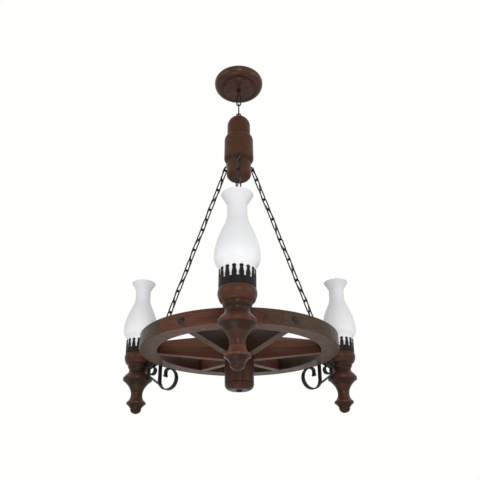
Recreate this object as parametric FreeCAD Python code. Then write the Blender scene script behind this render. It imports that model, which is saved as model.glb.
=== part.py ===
import FreeCAD, Part
import math
import os

# Wagon wheel chandelier, in millimetres, +Z up.
# The origin is the middle of the ceiling plane. The front lamp points to -Y.
# Heights of the wheel, irons and lamps are counted from the underside of the rim,
# and lifted to their place with wheel_z().

Vector = FreeCAD.Vector
UP = Vector(0, 0, 1)
CENTRE = Vector(0, 0, 0)

# ---- whole object -------------------------------------------------------------
RIM_UNDERSIDE = -907.0
LAMP_ANGLES = (270.0, 30.0, 150.0)
PIVOT_GAP = 0.3
HOLD_GAP = 0.1

# ---- wheel ----------------------------------------------------------------------
RIM_RADIUS = 260.0
RIM_INNER_RADIUS = 214.0
RIM_HEIGHT = 37.0
RIM_EDGE = 1.5
FELLOE_COUNT = 6
FELLOE_FIRST_JOINT = 45.0
SPOKE_COUNT = 6
SPOKE_THICKNESS = 20.0
SPOKE_ROOT_RADIUS = 30.0
SPOKE_TOP_AT_RIM = 33.0
SPOKE_TOP_AT_HUB = 51.0
SPOKE_BOTTOM_AT_HUB = -18.0
HUB_RADIUS = 38.2
HUB_TOP = 60.0
HUB_BOTTOM = -97.0
HUB_ROUND = 16.0
HUB_TOP_ROUND = 8.0
HUB_GROOVE_DEPTH = 1.6
HUB_GROOVE_WIDTH = 3.0
HUB_PLUG_HEAD_RADIUS = 9.5
HUB_PLUG_HEAD_HEIGHT = 4.5
HUB_PLUG_STEM_RADIUS = 4.0
HUB_PLUG_STEM_LENGTH = 25.0
RIM_BOLT_HEIGHT = 17.0
RIM_BOLT_HEAD_RADIUS = 9.0
RIM_BOLT_HEAD_HEIGHT = 6.0
RIM_BOLT_RADIUS = 3.0
RIM_BOLT_GRIP = 75.0

# ---- ceiling fitting --------------------------------------------------------------
CANOPY_RADIUS = 77.0
CANOPY_DEPTH = 32.0
CANOPY_HOLLOW_RADIUS = 52.0
CANOPY_HOLLOW_DEPTH = 20.0
STRAP_HALF_LENGTH = 49.0
STRAP_WIDTH = 20.0
STRAP_THICKNESS = 2.5
STRAP_DROP = 14.5
STRAP_FOOT = 15.0
STRAP_WEB_HALF = 25.0
CEILING_SCREW_SPACING = 82.0
CEILING_SLOT_WIDTH = 5.0
CEILING_SLOT_LENGTH = 10.0
HOOK_STEM_RADIUS = 4.0
HOOK_NUT_FLATS = 13.0
HOOK_NUT_HEIGHT = 6.5
HOOK_FLANGE_RADIUS = 7.0
HOOK_FLANGE_HEIGHT = 3.0
HOOK_RING_RADIUS = 8.0
HOOK_WIRE_RADIUS = 2.0
HOOK_RING_HEIGHT = -49.3
TERMINAL_SIZE = (30.0, 12.0, 10.0)
TERMINAL_Y = 20.0

# ---- chains -------------------------------------------------------------------------
WIRE_RADIUS = 2.0
LINK_BEND_RADIUS = 6.0
TOP_LINK_PITCH = 36.5
SIDE_LINK_COUNT = 19
EYE_RING_RADIUS = 6.0
EYE_SHANK_RADIUS = 1.6
EYE_SHANK_END = 20.0
UPPER_EYE_R = 46.0
UPPER_EYE_HEIGHT = 589.5
LOWER_EYE_R = 305.4
LOWER_EYE_HEIGHT = 4.0

# ---- spindle --------------------------------------------------------------------------
SPINDLE_TOP = -142.0
SPINDLE_BOTTOM = -366.0
SPINDLE_HOLLOW_RADIUS = 18.0
SPINDLE_HOLLOW_TOP = -171.0
SPINDLE_PLUG_HEIGHT = 12.0
SWIVEL_STEM_RADIUS = 3.0
SWIVEL_CLEARANCE = 0.05
SWIVEL_WIRE_RADIUS = 2.0
SWIVEL_RING_RADIUS = 6.5
SWIVEL_STEM_END = -181.0
SWIVEL_NUT_FLANGE_RADIUS = 8.0
SWIVEL_NUT_FLANGE_HEIGHT = 1.5
SWIVEL_NUT_FLATS = 10.0
SWIVEL_NUT_HEIGHT = 5.0
CONNECTOR_RADIUS = 13.0
CONNECTOR_HEIGHT = 14.0
CONNECTOR_BOTTOM = -257.0
CABLE_HOLE_RADIUS = 2.8

# ---- lamp cables, led down the side chains ----------------------------------------------
CABLE_RADIUS = 1.5
CABLE_LAY = 5.3
CABLE_ARC_SHARE = 0.45
CABLE_LAST_LAY = 17
CABLE_END_HEIGHT = 56.0

# ---- wrought iron brackets ----------------------------------------------------------------
BAR_WIDTH = 13.0
BAR_THICKNESS = 3.5
STRAP_TOP = 34.0
SCROLL_RADIUS = 29.3
SCROLL_HEIGHT = -40.0
SCROLL_CURL_RADIUS = 9.0
SCROLL_TAIL = 10.0
SCROLL_END_RADIUS = 3.6
ARM_START_HEIGHT = 13.8
ARM_END_HEIGHT = -1.0
LAMP_BAR_R = 303.6
LAMP_BAR_TOP = -1.0
LAMP_BAR_BOTTOM = -33.5
BRACE_TOP = -22.0
BRACE_END = (258.0, -53.8)
LOWER_CURL_CENTRE = (290.5, -9.0)
LOWER_CURL_RADIUS = 11.0
LOWER_CURL_END = 302.0
UPPER_CURL_CENTRE = (288.8, 11.7)
UPPER_CURL_RADIUS = 7.5
SMALL_END_RADIUS = 2.8
BRACKET_SCREW_HEIGHTS = (4.5, 27.0)
BRACKET_SCREW_HEAD_RADIUS = 4.0
BRACKET_SCREW_RADIUS = 2.0
BRACKET_SCREW_DEPTH = 20.0
LAMP_SCREW_HEIGHT = -30.3
LAMP_SCREW_HEAD_RADIUS = 3.5
LAMP_SCREW_RADIUS = 1.75
LAMP_SCREW_DEPTH = 20.0
SCREW_HEAD_HEIGHT = 2.5

# ---- lamps ----------------------------------------------------------------------------------
LAMP_R = 343.5
LAMP_LIFT = 1.5
LAMP_TOP = 45.0
LAMP_BOTTOM = -126.5
LAMP_BORE_RADIUS = 7.0
LAMP_BORE_TOP = 28.0
LAMP_CABLE_HOLE_RADIUS = 3.8
BUTTON_RADIUS = 9.0
BUTTON_HEIGHT = 2.5
BUTTON_STEM = 12.0
NIPPLE_RADIUS = 5.0
NIPPLE_BORE_RADIUS = 3.0
NIPPLE_BOTTOM = 30.0
GALLERY_RADIUS = 40.0
GALLERY_WALL = 1.5
GALLERY_FLOOR = 1.2
GALLERY_BAND_TOP = 60.5
PRONG_TOP = 85.5
PRONG_COUNT = 16
PRONG_PHASE = -9.0
HOLDER_BASE_RADIUS = 15.0
HOLDER_BASE_HEIGHT = 12.0
HOLDER_RADIUS = 13.5
HOLDER_TOP = 92.0
HOLDER_BORE_BOTTOM = 72.0
BULB_BASE_RADIUS = 6.9
BULB_CLEARANCE = 0.08
BULB_BOTTOM = 73.0
BULB_TOP = 168.0
BULB_TIP_RADIUS = 5.0
GLASS_WALL = 3.0
GLASS_SEAT_RADIUS = 38.2


# ---- general helpers ------------------------------------------------------------------------
def wheel_z(height):
    """Height above the rim's underside, as a height under the ceiling plane."""
    return RIM_UNDERSIDE + height


def lamp_z(height):
    """Height of a lamp's own profile, as a height under the ceiling plane."""
    return wheel_z(height + LAMP_LIFT)


def at(radius, height, side=0.0):
    """Point in the plane of the lamp on +X, its height counted from the rim's underside."""
    return Vector(radius, side, wheel_z(height))


def turned(start, steps, axis_x=0.0):
    """Solid turned about a vertical axis: (r, z) is a straight step, (r, z, r, z) an arc."""
    first = Vector(axis_x + start[0], 0, start[1])
    here = first
    edges = []
    for step in steps:
        end = Vector(axis_x + step[-2], 0, step[-1])
        if len(step) == 4:
            middle = Vector(axis_x + step[0], 0, step[1])
            edges.append(Part.Arc(here, middle, end).toShape())
        else:
            edges.append(Part.LineSegment(here, end).toShape())
        here = end
    edges.append(Part.LineSegment(here, first).toShape())
    face = Part.Face(Part.Wire(edges))
    return face.revolve(Vector(axis_x, 0, 0), UP, 360)


def rod(start, end, radius):
    """Round bar from one point to another."""
    run = end.sub(start)
    return Part.makeCylinder(radius, run.Length, start, run)


def tube(outer, inner, bottom, top, axis_x=0.0):
    """Vertical tube between two heights."""
    base = Vector(axis_x, 0, bottom)
    wall = Part.makeCylinder(outer, top - bottom, base)
    bore = Part.makeCylinder(inner, top - bottom, base)
    return wall.cut(bore)


def ring(centre, axis, centre_radius, wire_radius):
    """Closed round ring of round wire."""
    return Part.makeTorus(centre_radius, wire_radius, centre, axis)


def box(low, high):
    size = high.sub(low)
    return Part.makeBox(size.x, size.y, size.z, low)


def hexagon(flats, height, bottom):
    """Upright hexagonal prism on the Z axis."""
    corner = flats / math.sqrt(3)
    points = []
    for side in range(7):
        turn = math.radians(60 * side)
        points.append(Vector(corner * math.cos(turn), corner * math.sin(turn), bottom))
    return Part.Face(Part.makePolygon(points)).extrude(Vector(0, 0, height))


def dome(centre, axis, radius, height):
    """Low round head that rises by height above a flat base."""
    ball_radius = (radius * radius + height * height) / (2 * height)
    ball_centre = centre.add(Vector(axis).multiply(height - ball_radius))
    latitude = math.degrees(math.acos(radius / ball_radius))
    return Part.makeSphere(ball_radius, ball_centre, axis, latitude, 90, 360)


def joined(first, *others):
    """One solid from several that overlap or share faces."""
    return first.fuse(list(others)).removeSplitter()


def turn_about_axis(shape, angle):
    copy = shape.copy()
    copy.rotate(CENTRE, UP, angle)
    return copy


def save(name, *solids):
    """Write one node, which holds one solid or a group of separate ones."""
    shape = solids[0] if len(solids) == 1 else Part.makeCompound(list(solids))
    if not shape.isValid():
        print("invalid shape:", name)
    shape.exportStep("parts/" + name + ".step")


def save_at_lamps(name, shape):
    """Write one copy of a piece for each lamp."""
    for number, angle in enumerate(LAMP_ANGLES, start=1):
        save(name + "_" + str(number), turn_about_axis(shape, angle))


def save_group_at_lamps(name, solids):
    """Write the same small pieces of all three lamps as one node."""
    save(name, *[turn_about_axis(solid, angle) for angle in LAMP_ANGLES for solid in solids])


# ---- ceiling fitting ----------------------------------------------------------------------------
def make_ceiling_bracket():
    """Hat-shaped strap: two slotted feet on the ceiling and a web that carries the hook."""
    half = STRAP_HALF_LENGTH
    foot_end = half - STRAP_FOOT
    web = STRAP_WEB_HALF
    thick = STRAP_THICKNESS
    low = -STRAP_DROP
    outline = [
        (-half, 0), (-foot_end, 0), (-web, low + thick), (web, low + thick),
        (foot_end, 0), (half, 0), (half, -thick), (foot_end - thick / 2, -thick),
        (web - thick / 2, low), (-web + thick / 2, low), (-foot_end + thick / 2, -thick),
        (-half, -thick), (-half, 0),
    ]
    points = [Vector(x, -STRAP_WIDTH / 2, z) for x, z in outline]
    strap = Part.Face(Part.makePolygon(points)).extrude(Vector(0, STRAP_WIDTH, 0))
    strap = strap.cut(Part.makeCylinder(HOOK_STEM_RADIUS, 2 * STRAP_DROP, Vector(0, 0, -2 * STRAP_DROP)))
    for side in (-1, 1):
        strap = strap.cut(ceiling_slot(side * CEILING_SCREW_SPACING / 2))
    return strap


def ceiling_slot(middle_x):
    """Round-ended slot through a foot of the ceiling bracket."""
    radius = CEILING_SLOT_WIDTH / 2
    reach = CEILING_SLOT_LENGTH / 2 - radius
    depth = 2 * STRAP_THICKNESS
    bottom = -1.5 * STRAP_THICKNESS
    slot = box(Vector(middle_x - reach, -radius, bottom), Vector(middle_x + reach, radius, bottom + depth))
    for end in (-reach, reach):
        slot = slot.fuse(Part.makeCylinder(radius, depth, Vector(middle_x + end, 0, bottom)))
    return slot


def make_canopy():
    """Turned rose: a flat disc below, a shallow groove, a bead and a rounded rim."""
    hollow = CANOPY_HOLLOW_RADIUS
    rose = turned((HOOK_STEM_RADIUS, -CANOPY_DEPTH), [
        (45.5, -CANOPY_DEPTH),
        (47.6, -31.2, 48.4, -29),
        (49.8, -25.8, 53, -24.8),
        (57.2, -26.2, 62, -27),
        (72.5, -21, CANOPY_RADIUS, -9),
        (76.6, -3.8, 73.5, 0),
        (hollow, 0),
        (hollow, -CANOPY_HOLLOW_DEPTH),
        (HOOK_STEM_RADIUS, -CANOPY_HOLLOW_DEPTH),
    ])
    return rose


def make_canopy_hook():
    """Threaded stem, a flange that clamps the canopy, and a closed loop for the chain."""
    flange_bottom = -CANOPY_DEPTH - HOOK_FLANGE_HEIGHT
    stem_top = -STRAP_DROP + STRAP_THICKNESS + HOOK_NUT_HEIGHT + 2.0
    stem = rod(Vector(0, 0, flange_bottom), Vector(0, 0, stem_top), HOOK_STEM_RADIUS)
    flange = Part.makeCylinder(HOOK_FLANGE_RADIUS, HOOK_FLANGE_HEIGHT, Vector(0, 0, flange_bottom))
    loop = ring(Vector(0, 0, HOOK_RING_HEIGHT), Vector(1, 0, 0), HOOK_RING_RADIUS, HOOK_WIRE_RADIUS)
    neck_bottom = HOOK_RING_HEIGHT + HOOK_RING_RADIUS
    neck = rod(Vector(0, 0, neck_bottom), Vector(0, 0, flange_bottom), 1.5 * HOOK_WIRE_RADIUS)
    return joined(stem, flange, loop, neck)


def make_hook_nuts():
    """One nut on each side of the bracket's web."""
    web_top = -STRAP_DROP + STRAP_THICKNESS
    upper = hexagon(HOOK_NUT_FLATS, HOOK_NUT_HEIGHT, web_top)
    lower_height = CANOPY_HOLLOW_DEPTH - STRAP_DROP
    lower = hexagon(HOOK_NUT_FLATS, lower_height, -CANOPY_HOLLOW_DEPTH)
    hole = Part.makeCylinder(HOOK_STEM_RADIUS, CANOPY_DEPTH, Vector(0, 0, -CANOPY_DEPTH))
    return [upper.cut(hole), lower.cut(hole)]


def make_terminal_block():
    """Wire connector that lies on the canopy's floor, with its row of screw holes."""
    length, width, height = TERMINAL_SIZE
    bottom = -CANOPY_HOLLOW_DEPTH
    block = box(Vector(-length / 2, TERMINAL_Y - width / 2, bottom),
                Vector(length / 2, TERMINAL_Y + width / 2, bottom + height))
    for way in (-1, 0, 1):
        top = Vector(way * length / 3, TERMINAL_Y, bottom + height / 2)
        block = block.cut(Part.makeCylinder(2.0, height, top))
        entry = Vector(way * length / 3, TERMINAL_Y - width, bottom + height / 3)
        block = block.cut(Part.makeCylinder(1.6, 2 * width, entry, Vector(0, 1, 0)))
    return block


# ---- chain links ----------------------------------------------------------------------------------
def chain_link(hang_point, down, across, upper_wire_radius, pitch, gap):
    """Oval link hung on a wire at hang_point; its lower wire lies one pitch down."""
    above = upper_wire_radius + WIRE_RADIUS + gap
    bend = LINK_BEND_RADIUS
    top_centre = hang_point.add(Vector(down).multiply(bend - above))
    bottom_centre = hang_point.add(Vector(down).multiply(pitch - bend))
    side = Vector(across).multiply(bend)
    a = top_centre.add(side)
    b = top_centre.sub(side)
    c = bottom_centre.sub(side)
    d = bottom_centre.add(side)
    over = top_centre.sub(Vector(down).multiply(bend))
    under = bottom_centre.add(Vector(down).multiply(bend))
    path = Part.Wire([
        Part.Arc(a, over, b).toShape(),
        Part.LineSegment(b, c).toShape(),
        Part.Arc(c, under, d).toShape(),
        Part.LineSegment(d, a).toShape(),
    ])
    section = Part.Wire([Part.Circle(a, down, WIRE_RADIUS).toShape()])
    return path.makePipeShell([section], True, False)


def hook_pivot():
    """Middle of the hook's lowest wire, about which the first link swings."""
    return Vector(0, 0, HOOK_RING_HEIGHT - HOOK_RING_RADIUS)


def make_top_links():
    """Two links between the hook and the spindle's eye, square to each other."""
    down = Vector(0, 0, -1)
    first = chain_link(hook_pivot(), down, Vector(1, 0, 0), HOOK_WIRE_RADIUS, TOP_LINK_PITCH, PIVOT_GAP)
    second_pivot = hook_pivot().add(Vector(0, 0, -TOP_LINK_PITCH))
    second = chain_link(second_pivot, down, Vector(0, 1, 0), WIRE_RADIUS, TOP_LINK_PITCH, PIVOT_GAP)
    return first, second


# ---- spindle ------------------------------------------------------------------------------------------
def swivel_ring_centre():
    """The swivel eye hangs on the second link's lowest wire."""
    hang = hook_pivot().z - 2 * TOP_LINK_PITCH
    wire_top = hang + WIRE_RADIUS + SWIVEL_WIRE_RADIUS + PIVOT_GAP
    return Vector(0, 0, wire_top - SWIVEL_RING_RADIUS)


def make_spindle_eye():
    """Eye bolt through the spindle's crown, on which the lamp swivels."""
    centre = swivel_ring_centre()
    loop = ring(centre, Vector(0, 1, 0), SWIVEL_RING_RADIUS, SWIVEL_WIRE_RADIUS)
    stem_top = Vector(0, 0, centre.z - SWIVEL_RING_RADIUS)
    stem = rod(Vector(0, 0, SWIVEL_STEM_END), stem_top, SWIVEL_STEM_RADIUS)
    return joined(loop, stem)


def make_eye_nut():
    """Flanged nut under the spindle's crown."""
    top = SPINDLE_HOLLOW_TOP - HOLD_GAP
    flange_bottom = top - SWIVEL_NUT_FLANGE_HEIGHT
    flange = Part.makeCylinder(SWIVEL_NUT_FLANGE_RADIUS, SWIVEL_NUT_FLANGE_HEIGHT, Vector(0, 0, flange_bottom))
    body = hexagon(SWIVEL_NUT_FLATS, SWIVEL_NUT_HEIGHT, flange_bottom - SWIVEL_NUT_HEIGHT)
    stem = rod(Vector(0, 0, SWIVEL_STEM_END), Vector(0, 0, SPINDLE_TOP), SWIVEL_STEM_RADIUS)
    return joined(flange, body).cut(stem)


def make_spindle():
    """Turned spindle with a domed crown, a stout middle and a wiring hollow bored from below."""
    bore = SWIVEL_STEM_RADIUS + SWIVEL_CLEARANCE
    spindle = turned((bore, SPINDLE_TOP), [
        (6, SPINDLE_TOP - 0.5),
        (27, -154, 35.3, -178),
        (35.2, -212),
        (34.4, -215),
        (41, -221.5, 43.9, -235),
        (44.5, -291.5),
        (43, -301.5, 37.6, -308),
        (35.2, -310.5),
        (35.2, -316.5),
        (36.6, -319),
        (36.4, -348),
        (34.2, -359.5, 26, SPINDLE_BOTTOM),
        (SPINDLE_HOLLOW_RADIUS, SPINDLE_BOTTOM),
        (SPINDLE_HOLLOW_RADIUS, SPINDLE_HOLLOW_TOP),
        (bore, SPINDLE_HOLLOW_TOP),
    ])
    mouth, inside = spindle_cable_hole()
    run = inside.sub(mouth).normalize()
    drill = rod(mouth.sub(Vector(run).multiply(12)), inside, CABLE_HOLE_RADIUS)
    for angle in LAMP_ANGLES:
        spindle = spindle.cut(turn_about_axis(drill, angle))
        spindle = spindle.cut(turn_about_axis(chain_eye_shank(), angle))
    return spindle


def make_spindle_plug():
    """Wooden disc that closes the spindle's hollow from below."""
    return Part.makeCylinder(SPINDLE_HOLLOW_RADIUS, SPINDLE_PLUG_HEIGHT, Vector(0, 0, SPINDLE_BOTTOM))


def make_spindle_connector():
    """Round connector in the hollow, where the three lamp cables meet."""
    return Part.makeCylinder(CONNECTOR_RADIUS, CONNECTOR_HEIGHT, Vector(0, 0, CONNECTOR_BOTTOM))


# ---- side chains, in the plane of the lamp on +X ---------------------------------------------------------
def chain_frame():
    """First hang point, run of the taut chain, and the direction square to it in the lamp's plane."""
    upper = at(UPPER_EYE_R, UPPER_EYE_HEIGHT)
    lower = at(LOWER_EYE_R, LOWER_EYE_HEIGHT)
    run = lower.sub(upper).normalize()
    first = upper.add(Vector(run).multiply(EYE_RING_RADIUS))
    outward = Vector(-run.z, 0, run.x)
    return first, run, outward


def side_link_pitch():
    """The links share the length between the two eyes evenly."""
    span = at(LOWER_EYE_R, LOWER_EYE_HEIGHT).sub(at(UPPER_EYE_R, UPPER_EYE_HEIGHT)).Length
    lower_hold = 2 * WIRE_RADIUS + HOLD_GAP
    return (span - 2 * EYE_RING_RADIUS + lower_hold) / SIDE_LINK_COUNT


def make_side_chain():
    """Taut chain: each link is square to the one above it."""
    first, run, outward = chain_frame()
    sideways = Vector(0, 1, 0)
    pitch = side_link_pitch()
    links = []
    for number in range(SIDE_LINK_COUNT):
        across = sideways if number % 2 == 0 else outward
        hang = first.add(Vector(run).multiply(number * pitch))
        links.append(chain_link(hang, run, across, WIRE_RADIUS, pitch, HOLD_GAP))
    return links


def chain_eye_shank():
    return rod(at(EYE_SHANK_END, UPPER_EYE_HEIGHT), at(UPPER_EYE_R - EYE_RING_RADIUS, UPPER_EYE_HEIGHT),
               EYE_SHANK_RADIUS)


def make_chain_eye():
    """Screw eye in the spindle's side."""
    loop = ring(at(UPPER_EYE_R, UPPER_EYE_HEIGHT), Vector(0, 1, 0), EYE_RING_RADIUS, WIRE_RADIUS)
    return joined(loop, chain_eye_shank())


# ---- lamp cable -------------------------------------------------------------------------------------------
def spindle_cable_hole():
    """Mouth on the spindle's lower shoulder and the hole's inner end."""
    return at(42.5, 600.8, 3), at(9, 625.5, 1.2)


def lamp_cable_hole():
    """Mouth at the lamp's waist and the turn inside its bore."""
    mouth = Vector(LAMP_R - 31.4, -4.4, lamp_z(2.8))
    turn = Vector(LAMP_R - 4.0, -0.2, lamp_z(4.5))
    return mouth, turn


def cable_route():
    """Points from the spindle's connector, down the chain, to the lampholder."""
    first, run, outward = chain_frame()
    pitch = side_link_pitch()
    mouth, inside = spindle_cable_hole()
    points = [Vector(inside.x, inside.y, CONNECTOR_BOTTOM), inside, mouth]
    for number in range(CABLE_LAST_LAY + 1):
        side_sign = 1 if number % 4 in (0, 3) else -1
        out_sign = 1 if number % 4 in (0, 1) else -1
        lay = Vector(0, side_sign * CABLE_LAY, 0).add(Vector(outward).multiply(out_sign * CABLE_LAY))
        points.append(first.add(Vector(run).multiply(number * pitch - WIRE_RADIUS)).add(lay))
    lamp_mouth, lamp_turn = lamp_cable_hole()
    points += [at(294.5, 41, -5), at(304.2, 18, -6.2), lamp_mouth, lamp_turn]
    points += [Vector(LAMP_R, 0, lamp_z(24)), Vector(LAMP_R, 0, lamp_z(CABLE_END_HEIGHT))]
    return points


def rounded_path(points):
    """Straight runs joined by tangent arcs, each as large as its two runs allow."""
    edges = []
    radii = []
    here = points[0]
    for before, corner, after in zip(points, points[1:], points[2:]):
        back = before.sub(corner)
        ahead = after.sub(corner)
        half_turn = (math.pi - back.getAngle(ahead)) / 2
        reach = CABLE_ARC_SHARE * min(back.Length, ahead.Length)
        radius = reach / math.tan(half_turn)
        back.normalize()
        ahead.normalize()
        start = corner.add(Vector(back).multiply(reach))
        end = corner.add(Vector(ahead).multiply(reach))
        inward = back.add(ahead).normalize()
        middle = corner.add(inward.multiply(radius / math.cos(half_turn) - radius))
        edges.append(Part.LineSegment(here, start).toShape())
        edges.append(Part.Arc(start, middle, end).toShape())
        radii.append(round(radius, 1))
        here = end
    edges.append(Part.LineSegment(here, points[-1]).toShape())
    return Part.Wire(edges), radii


def make_lamp_cable():
    """Round cable swept along its route, with its radii and volume checked."""
    points = cable_route()
    path, radii = rounded_path(points)
    start_direction = points[1].sub(points[0])
    section = Part.Wire([Part.Circle(points[0], start_direction, CABLE_RADIUS).toShape()])
    cable = path.makePipeShell([section], True, False)
    expected = math.pi * CABLE_RADIUS ** 2 * path.Length
    print("lamp cable length", round(path.Length, 1), "bend radii", radii)
    print("lamp cable volume over section times length", round(cable.Volume / expected, 4))
    return cable


# ---- wheel ---------------------------------------------------------------------------------------------------
def make_felloe():
    """One curved piece of the rim, from its first joint on +X."""
    inner = RIM_INNER_RADIUS
    outer = RIM_RADIUS
    low = wheel_z(0)
    high = wheel_z(RIM_HEIGHT)
    edge = RIM_EDGE
    outline = [
        (inner + edge, low), (outer - edge, low), (outer, low + edge), (outer, high - edge),
        (outer - edge, high), (inner + edge, high), (inner, high - edge), (inner, low + edge),
        (inner + edge, low),
    ]
    face = Part.Face(Part.makePolygon([Vector(r, 0, z) for r, z in outline]))
    return face.revolve(CENTRE, UP, 360.0 / FELLOE_COUNT)


def make_spoke():
    """Board on edge that deepens towards the hub, on +X."""
    reach = RIM_INNER_RADIUS + 5
    outline = [
        (SPOKE_ROOT_RADIUS, SPOKE_BOTTOM_AT_HUB), (RIM_INNER_RADIUS - 2, 0), (reach, 0),
        (reach, SPOKE_TOP_AT_RIM), (RIM_INNER_RADIUS - 2, SPOKE_TOP_AT_RIM),
        (SPOKE_ROOT_RADIUS, SPOKE_TOP_AT_HUB), (SPOKE_ROOT_RADIUS, SPOKE_BOTTOM_AT_HUB),
    ]
    points = [at(r, z, -SPOKE_THICKNESS / 2) for r, z in outline]
    board = Part.Face(Part.makePolygon(points)).extrude(Vector(0, SPOKE_THICKNESS, 0))
    inside_rim = Part.makeCylinder(RIM_INNER_RADIUS, 200, Vector(0, 0, wheel_z(-100)))
    return board.common(inside_rim)


def make_hub(spokes):
    """Turned hub with one mortise for each spoke."""
    low = wheel_z(HUB_BOTTOM)
    high = wheel_z(HUB_TOP)
    quarter = HUB_ROUND * (1 - math.sqrt(0.5))
    top_quarter = HUB_TOP_ROUND * (1 - math.sqrt(0.5))
    hub = turned((0, low), [
        (HUB_RADIUS - HUB_ROUND, low),
        (HUB_RADIUS - quarter, low + quarter, HUB_RADIUS, low + HUB_ROUND),
        (HUB_RADIUS - HUB_GROOVE_DEPTH, low + HUB_ROUND + HUB_GROOVE_WIDTH / 2),
        (HUB_RADIUS, low + HUB_ROUND + HUB_GROOVE_WIDTH),
        (HUB_RADIUS, high - HUB_TOP_ROUND),
        (HUB_RADIUS - top_quarter, high - top_quarter, HUB_RADIUS - HUB_TOP_ROUND, high),
        (0, high),
    ])
    stem = Part.makeCylinder(HUB_PLUG_STEM_RADIUS, HUB_PLUG_STEM_LENGTH, Vector(0, 0, low))
    for cutter in spokes + [stem]:
        hub = hub.cut(cutter)
    return hub


def make_hub_plug():
    """Dark domed screw under the hub."""
    low = wheel_z(HUB_BOTTOM)
    stem = Part.makeCylinder(HUB_PLUG_STEM_RADIUS, HUB_PLUG_STEM_LENGTH, Vector(0, 0, low))
    head = dome(Vector(0, 0, low), Vector(0, 0, -1), HUB_PLUG_HEAD_RADIUS, HUB_PLUG_HEAD_HEIGHT)
    return joined(stem, head)


def make_rim_bolt():
    """Round-headed coach bolt through the rim into a spoke's end, on +X."""
    face = at(RIM_RADIUS, RIM_BOLT_HEIGHT)
    head = dome(face, Vector(1, 0, 0), RIM_BOLT_HEAD_RADIUS, RIM_BOLT_HEAD_HEIGHT)
    shank = rod(at(RIM_RADIUS - RIM_BOLT_GRIP, RIM_BOLT_HEIGHT), face, RIM_BOLT_RADIUS)
    return head, shank


def save_wheel():
    spoke_step = 360.0 / SPOKE_COUNT
    spokes = [turn_about_axis(make_spoke(), spoke_step * number) for number in range(SPOKE_COUNT)]
    hub = make_hub(spokes)
    head, shank = make_rim_bolt()
    shanks = [turn_about_axis(shank, spoke_step * number) for number in range(SPOKE_COUNT)]
    heads = [turn_about_axis(head, spoke_step * number) for number in range(SPOKE_COUNT)]
    screws = [turn_about_axis(screw, angle) for angle in LAMP_ANGLES for screw in bracket_screw_shanks()]
    felloe_step = 360.0 / FELLOE_COUNT
    for number in range(FELLOE_COUNT):
        felloe = turn_about_axis(make_felloe(), FELLOE_FIRST_JOINT + felloe_step * number)
        for cutter in shanks + screws:
            felloe = felloe.cut(cutter)
        save("felloe_" + str(number + 1), felloe)
    for number in range(SPOKE_COUNT):
        save("spoke_" + str(number + 1), spokes[number].cut(shanks[number]))
    save("hub", hub)
    save("hub_plug", make_hub_plug())
    save("rim_bolts", *[joined(heads[number], shanks[number]) for number in range(SPOKE_COUNT)])


# ---- wrought iron, in the plane of the lamp on +X ------------------------------------------------------------
def straight_bar(start, end):
    """Flat bar between two (radius, height) points, edge on in the lamp's plane."""
    a = at(*start)
    b = at(*end)
    run = b.sub(a).normalize()
    offset = Vector(-run.z, 0, run.x).multiply(BAR_THICKNESS / 2)
    shift = Vector(0, -BAR_WIDTH / 2, 0)
    corners = [a.add(offset), b.add(offset), b.sub(offset), a.sub(offset), a.add(offset)]
    face = Part.Face(Part.makePolygon([corner.add(shift) for corner in corners]))
    return face.extrude(Vector(0, BAR_WIDTH, 0))


def bent_bar(centre, radius, start_angle, end_angle):
    """Flat bar bent along an arc; angles run anticlockwise from outward, in degrees."""
    inner = radius - BAR_THICKNESS / 2
    outer = radius + BAR_THICKNESS / 2
    middle_angle = (start_angle + end_angle) / 2

    def point(distance, angle):
        turn = math.radians(angle)
        return at(centre[0] + distance * math.cos(turn), centre[1] + distance * math.sin(turn), -BAR_WIDTH / 2)

    edges = [
        Part.Arc(point(inner, start_angle), point(inner, middle_angle), point(inner, end_angle)).toShape(),
        Part.LineSegment(point(inner, end_angle), point(outer, end_angle)).toShape(),
        Part.Arc(point(outer, end_angle), point(outer, middle_angle), point(outer, start_angle)).toShape(),
        Part.LineSegment(point(outer, start_angle), point(inner, start_angle)).toShape(),
    ]
    return Part.Face(Part.Wire(edges)).extrude(Vector(0, BAR_WIDTH, 0))


def cross_roll(radius_place, height, roll_radius):
    """Round roll across the bar's width, which finishes a curl or softens a bend."""
    start = at(radius_place, height, -BAR_WIDTH / 2)
    return Part.makeCylinder(roll_radius, BAR_WIDTH, start, Vector(0, 1, 0))


def strap_r():
    """Middle of the strap that lies on the rim's outer face."""
    return RIM_RADIUS + BAR_THICKNESS / 2


def make_bracket():
    """Strap on the rim's face that runs down into a large scroll under the rim."""
    strap = straight_bar((strap_r(), STRAP_TOP), (strap_r(), SCROLL_HEIGHT))
    centre = (strap_r() - SCROLL_RADIUS, SCROLL_HEIGHT)
    lower_half = bent_bar(centre, SCROLL_RADIUS, 180, 360)
    upper_quarter = bent_bar(centre, SCROLL_RADIUS, 90, 180)
    curl_top = centre[1] + SCROLL_RADIUS
    curl_centre = (centre[0], curl_top - SCROLL_CURL_RADIUS)
    curl = bent_bar(curl_centre, SCROLL_CURL_RADIUS, 0, 90)
    tail_r = centre[0] + SCROLL_CURL_RADIUS
    tail_end = curl_centre[1] - SCROLL_TAIL
    tail = straight_bar((tail_r, curl_centre[1]), (tail_r, tail_end))
    end_roll = cross_roll(tail_r, tail_end, SCROLL_END_RADIUS)
    bracket = joined(strap, lower_half, upper_quarter, curl, tail, end_roll)
    for shank in bracket_screw_shanks():
        bracket = bracket.cut(shank)
    return bracket


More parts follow.
